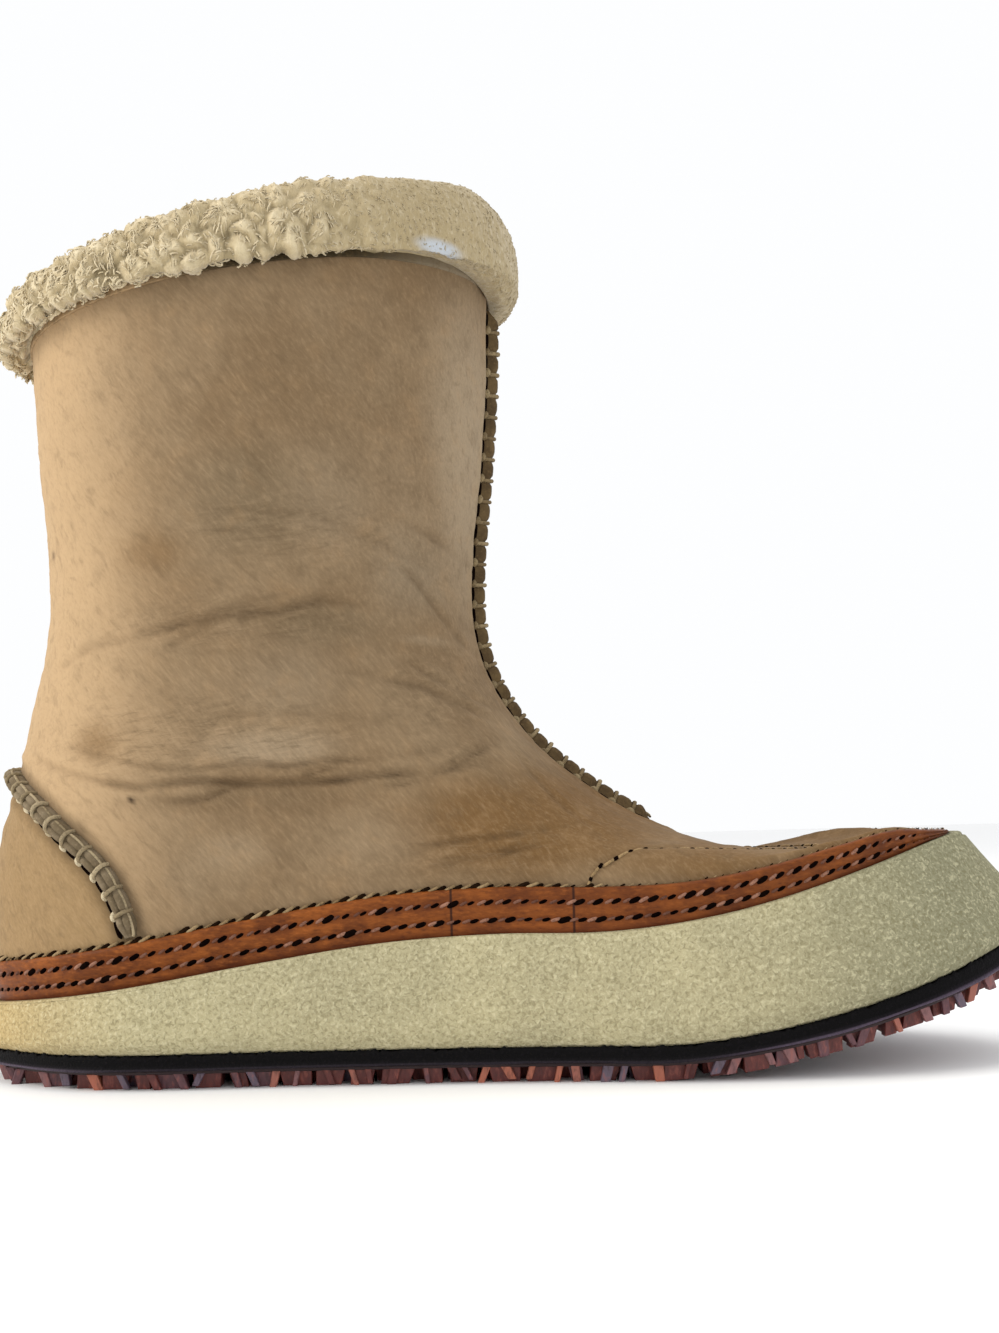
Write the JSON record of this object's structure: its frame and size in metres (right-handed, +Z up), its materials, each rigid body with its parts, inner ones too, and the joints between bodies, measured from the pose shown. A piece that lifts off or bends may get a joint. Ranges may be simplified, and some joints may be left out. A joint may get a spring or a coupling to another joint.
{
  "type": "mukluk boot",
  "caption": "Left mukluk boot: a tall soft leather upper with a fleece collar, raised seams and a sewn rand, on a thick curved foam sole with a lugged rubber tread.",
  "frame": {"origin": "on the floor under the middle of the boot's box", "axes": "+X to the toe, +Z up, +Y to the outer side of the foot"},
  "size_m": [0.2829, 0.1117, 0.2315],
  "materials": {
    "nubuck": "brushed nubuck, tan, worn grey in places",
    "rand_leather": "smooth red-brown leather, semi-matt",
    "seam_leather": "folded leather edges under cross stitches",
    "foam": "pebbled cream foam, matt",
    "band_rubber": "black rubber, satin",
    "tread_rubber": "red-brown rubber lugs, satin",
    "fleece": "curly cream fleece",
    "footbed": "short cream pile"
  },
  "bodies": {
    "root": {"upper": "nubuck", "rand": "rand_leather", "midsole": "foam", "outsole": "band_rubber", "tread": "tread_rubber", "insole": "footbed", "front_seam": "seam_leather", "heel_seam": "seam_leather", "collar_fleece": "fleece"}
  },
  "joints": []
}
